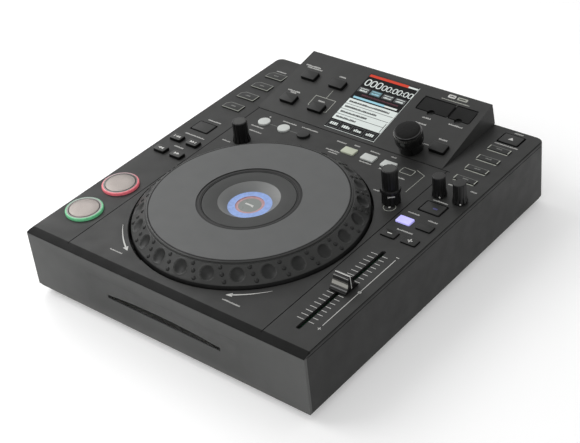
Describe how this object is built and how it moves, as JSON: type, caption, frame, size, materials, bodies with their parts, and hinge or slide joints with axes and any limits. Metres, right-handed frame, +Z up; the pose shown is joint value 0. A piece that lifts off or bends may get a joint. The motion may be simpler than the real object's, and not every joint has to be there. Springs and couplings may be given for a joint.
{
  "type": "tabletop disc player",
  "caption": "Tabletop disc player for a performer: a turning jog wheel with finger dimples, a sloped screen console, keys, knobs and a pitch fader, and a slot-in disc drive.",
  "frame": {"origin": "on the table under the middle of the body", "axes": "+X to the player's right seen from the front, +Y from the front panel to the rear, +Z up"},
  "size_m": [0.325, 0.369, 0.1074],
  "materials": {
    "deck_plastic": "fine-grained black",
    "panel_plastic": "satin charcoal",
    "tray_steel": "black paint",
    "foot_rubber": "black",
    "console_plastic": "satin black",
    "screen_glass": "black screen",
    "key_plastic": "satin black",
    "knob_rubber": "black",
    "steel": "plain",
    "flush_key_plastic": "satin dark grey",
    "lilac_key": "lit lilac",
    "white_key": "translucent white",
    "brushed_metal": "brushed, pinkish silver",
    "jog_rubber": "dark grey",
    "jog_disc": "satin mid grey",
    "display_lens": "clear over lit rings",
    "board_green": "green lacquer"
  },
  "bodies": {
    "body": {"top_cover": "deck_plastic", "front_panel": "panel_plastic", "bottom_tray": "tray_steel", "console_housing": "console_plastic", "display_module": "screen_glass", "jog_post": "steel", "jog_display": "display_lens", "control_board": "board_green", "disc_drive": "steel", "main_board": "board_green", "power_supply": "board_green", "foot_front_left": "foot_rubber", "foot_front_right": "foot_rubber", "foot_rear_left": "foot_rubber", "foot_rear_right": "foot_rubber"},
    "jog_wheel": {"jog_ring": "jog_rubber", "jog_plate": "jog_disc"},
    "menu_key_1": {"menu_key_1": "key_plastic"},
    "menu_key_2": {"menu_key_2": "key_plastic"},
    "menu_key_3": {"menu_key_3": "key_plastic"},
    "menu_key_4": {"menu_key_4": "key_plastic"},
    "back_key": {"back_key": "key_plastic"},
    "encoder_knob": {"encoder_knob": "knob_rubber"},
    "encoder_shaft": {"encoder_shaft": "steel"},
    "card_flap": {"card_flap": "key_plastic"},
    "usb_flap": {"usb_flap": "key_plastic"},
    "search_back_key": {"search_back_key": "key_plastic"},
    "search_forward_key": {"search_forward_key": "key_plastic"},
    "track_back_key": {"track_back_key": "key_plastic"},
    "track_forward_key": {"track_forward_key": "key_plastic"},
    "reverse_key": {"reverse_key": "flush_key_plastic"},
    "jog_mode_key": {"jog_mode_key": "flush_key_plastic"},
    "eject_key": {"eject_key": "flush_key_plastic"},
    "tempo_down_key": {"tempo_down_key": "key_plastic"},
    "tempo_up_key": {"tempo_up_key": "key_plastic"},
    "tempo_lock_key": {"tempo_lock_key": "lilac_key"},
    "tempo_range_key": {"tempo_range_key": "key_plastic"},
    "hold_key": {"hold_key": "flush_key_plastic"},
    "hot_key_1": {"hot_key_1": "flush_key_plastic"},
    "hot_key_2": {"hot_key_2": "flush_key_plastic"},
    "hot_key_3": {"hot_key_3": "flush_key_plastic"},
    "hot_key_4": {"hot_key_4": "flush_key_plastic"},
    "source_key_1": {"source_key_1": "flush_key_plastic"},
    "source_key_2": {"source_key_2": "flush_key_plastic"},
    "source_key_3": {"source_key_3": "flush_key_plastic"},
    "source_key_4": {"source_key_4": "flush_key_plastic"},
    "mode_key_1": {"mode_key_1": "white_key"},
    "mode_key_2": {"mode_key_2": "white_key"},
    "mode_key_3": {"mode_key_3": "white_key"},
    "play_button": {"play_button": "brushed_metal"},
    "cue_button": {"cue_button": "brushed_metal"},
    "loop_in_key": {"loop_in_key": "white_key"},
    "loop_out_key": {"loop_out_key": "white_key"},
    "loop_exit_key": {"loop_exit_key": "key_plastic"},
    "start_time_knob": {"start_time_knob": "knob_rubber"},
    "effect_knob": {"effect_knob": "knob_rubber"},
    "trim_knob_1": {"trim_knob_1": "knob_rubber"},
    "trim_knob_2": {"trim_knob_2": "knob_rubber"},
    "pitch_fader": {"pitch_fader": "knob_rubber"},
    "power_rocker": {"power_rocker": "key_plastic"}
  },
  "joints": [
    {"name": "menu_key_1_press", "type": "slide", "parent": "body", "child": "menu_key_1", "axis": [0, 0.2205, -0.9754], "range_m": [0, 0.001], "stiffness_N_per_m": 400},
    {"name": "menu_key_2_press", "type": "slide", "parent": "body", "child": "menu_key_2", "axis": [0, 0.2205, -0.9754], "range_m": [0, 0.001], "stiffness_N_per_m": 400},
    {"name": "menu_key_3_press", "type": "slide", "parent": "body", "child": "menu_key_3", "axis": [0, 0.2205, -0.9754], "range_m": [0, 0.001], "stiffness_N_per_m": 400},
    {"name": "menu_key_4_press", "type": "slide", "parent": "body", "child": "menu_key_4", "axis": [0, 0.2205, -0.9754], "range_m": [0, 0.001], "stiffness_N_per_m": 400},
    {"name": "back_key_press", "type": "slide", "parent": "body", "child": "back_key", "axis": [0, 0.2205, -0.9754], "range_m": [0, 0.001], "stiffness_N_per_m": 400},
    {"name": "encoder_turn", "type": "hinge", "parent": "encoder_shaft", "child": "encoder_knob", "pos_m": [0.0655, 0.10372, 0.07394], "axis": [0, -0.2205, 0.9754], "continuous": true},
    {"name": "encoder_push", "type": "slide", "parent": "body", "child": "encoder_shaft", "axis": [0, 0.2205, -0.9754], "range_m": [0, 0.0008], "stiffness_N_per_m": 500},
    {"name": "card_flap_hinge", "type": "hinge", "parent": "body", "child": "card_flap", "pos_m": [0.0373, 0.17001, 0.0878], "axis": [-1, 0, 0], "range_deg": [0, 95]},
    {"name": "usb_flap_hinge", "type": "hinge", "parent": "body", "child": "usb_flap", "pos_m": [0.0748, 0.17001, 0.0878], "axis": [-1, 0, 0], "range_deg": [0, 95]},
    {"name": "search_back_key_press", "type": "slide", "parent": "body", "child": "search_back_key", "axis": [0, 0, -1], "range_m": [0, 0.001], "stiffness_N_per_m": 400},
    {"name": "search_forward_key_press", "type": "slide", "parent": "body", "child": "search_forward_key", "axis": [0, 0, -1], "range_m": [0, 0.001], "stiffness_N_per_m": 400},
    {"name": "track_back_key_press", "type": "slide", "parent": "body", "child": "track_back_key", "axis": [0, 0, -1], "range_m": [0, 0.001], "stiffness_N_per_m": 400},
    {"name": "track_forward_key_press", "type": "slide", "parent": "body", "child": "track_forward_key", "axis": [0, 0, -1], "range_m": [0, 0.001], "stiffness_N_per_m": 400},
    {"name": "reverse_key_press", "type": "slide", "parent": "body", "child": "reverse_key", "axis": [0, 0, -1], "range_m": [0, 0.001], "stiffness_N_per_m": 400},
    {"name": "jog_mode_key_press", "type": "slide", "parent": "body", "child": "jog_mode_key", "axis": [0, 0, -1], "range_m": [0, 0.001], "stiffness_N_per_m": 400},
    {"name": "eject_key_press", "type": "slide", "parent": "body", "child": "eject_key", "axis": [0, 0, -1], "range_m": [0, 0.001], "stiffness_N_per_m": 400},
    {"name": "tempo_down_key_press", "type": "slide", "parent": "body", "child": "tempo_down_key", "axis": [0, 0, -1], "range_m": [0, 0.001], "stiffness_N_per_m": 400},
    {"name": "tempo_up_key_press", "type": "slide", "parent": "body", "child": "tempo_up_key", "axis": [0, 0, -1], "range_m": [0, 0.001], "stiffness_N_per_m": 400},
    {"name": "tempo_lock_key_press", "type": "slide", "parent": "body", "child": "tempo_lock_key", "axis": [0, 0, -1], "range_m": [0, 0.001], "stiffness_N_per_m": 400},
    {"name": "tempo_range_key_press", "type": "slide", "parent": "body", "child": "tempo_range_key", "axis": [0, 0, -1], "range_m": [0, 0.001], "stiffness_N_per_m": 400},
    {"name": "hold_key_press", "type": "slide", "parent": "body", "child": "hold_key", "axis": [0, 0, -1], "range_m": [0, 0.001], "stiffness_N_per_m": 400},
    {"name": "hot_key_1_press", "type": "slide", "parent": "body", "child": "hot_key_1", "axis": [0, 0, -1], "range_m": [0, 0.001], "stiffness_N_per_m": 400},
    {"name": "hot_key_2_press", "type": "slide", "parent": "body", "child": "hot_key_2", "axis": [0, 0, -1], "range_m": [0, 0.001], "stiffness_N_per_m": 400},
    {"name": "hot_key_3_press", "type": "slide", "parent": "body", "child": "hot_key_3", "axis": [0, 0, -1], "range_m": [0, 0.001], "stiffness_N_per_m": 400},
    {"name": "hot_key_4_press", "type": "slide", "parent": "body", "child": "hot_key_4", "axis": [0, 0, -1], "range_m": [0, 0.001], "stiffness_N_per_m": 400},
    {"name": "source_key_1_press", "type": "slide", "parent": "body", "child": "source_key_1", "axis": [0, 0, -1], "range_m": [0, 0.001], "stiffness_N_per_m": 400},
    {"name": "source_key_2_press", "type": "slide", "parent": "body", "child": "source_key_2", "axis": [0, 0, -1], "range_m": [0, 0.001], "stiffness_N_per_m": 400},
    {"name": "source_key_3_press", "type": "slide", "parent": "body", "child": "source_key_3", "axis": [0, 0, -1], "range_m": [0, 0.001], "stiffness_N_per_m": 400},
    {"name": "source_key_4_press", "type": "slide", "parent": "body", "child": "source_key_4", "axis": [0, 0, -1], "range_m": [0, 0.001], "stiffness_N_per_m": 400},
    {"name": "mode_key_1_press", "type": "slide", "parent": "body", "child": "mode_key_1", "axis": [0, 0, -1], "range_m": [0, 0.001], "stiffness_N_per_m": 400},
    {"name": "mode_key_2_press", "type": "slide", "parent": "body", "child": "mode_key_2", "axis": [0, 0, -1], "range_m": [0, 0.001], "stiffness_N_per_m": 400},
    {"name": "mode_key_3_press", "type": "slide", "parent": "body", "child": "mode_key_3", "axis": [0, 0, -1], "range_m": [0, 0.001], "stiffness_N_per_m": 400},
    {"name": "play_button_press", "type": "slide", "parent": "body", "child": "play_button", "axis": [0, 0, -1], "range_m": [0, 0.0015], "stiffness_N_per_m": 600},
    {"name": "cue_button_press", "type": "slide", "parent": "body", "child": "cue_button", "axis": [0, 0, -1], "range_m": [0, 0.0015], "stiffness_N_per_m": 600},
    {"name": "loop_in_key_press", "type": "slide", "parent": "body", "child": "loop_in_key", "axis": [0, 0, -1], "range_m": [0, 0.001], "stiffness_N_per_m": 400},
    {"name": "loop_out_key_press", "type": "slide", "parent": "body", "child": "loop_out_key", "axis": [0, 0, -1], "range_m": [0, 0.001], "stiffness_N_per_m": 400},
    {"name": "loop_exit_key_press", "type": "slide", "parent": "body", "child": "loop_exit_key", "axis": [0, 0, -1], "range_m": [0, 0.001], "stiffness_N_per_m": 400},
    {"name": "start_time_knob_turn", "type": "hinge", "parent": "body", "child": "start_time_knob", "pos_m": [-0.08908, 0.03519, 0.0714], "axis": [0, 0, 1], "range_deg": [-150, 150]},
    {"name": "effect_knob_turn", "type": "hinge", "parent": "body", "child": "effect_knob", "pos_m": [0.09733, 0.02542, 0.0714], "axis": [0, 0, 1], "range_deg": [-150, 150]},
    {"name": "trim_knob_1_turn", "type": "hinge", "parent": "body", "child": "trim_knob_1", "pos_m": [0.1284, 0.0567, 0.0714], "axis": [0, 0, 1], "range_deg": [-150, 150]},
    {"name": "trim_knob_2_turn", "type": "hinge", "parent": "body", "child": "trim_knob_2", "pos_m": [0.1504, 0.0567, 0.0714], "axis": [0, 0, 1], "range_deg": [-150, 150]},
    {"name": "pitch_fader_slide", "type": "slide", "parent": "body", "child": "pitch_fader", "axis": [0, 1, 0], "range_m": [-0.052, 0.048]},
    {"name": "power_rocker_tilt", "type": "hinge", "parent": "body", "child": "power_rocker", "pos_m": [-0.1165, 0.17405, 0.0345], "axis": [-1, 0, 0], "range_deg": [0, 16]},
    {"name": "jog_wheel_turn", "type": "hinge", "parent": "body", "child": "jog_wheel", "pos_m": [-0.0004, -0.056, 0.0714], "axis": [0, 0, 1], "continuous": true}
  ]
}
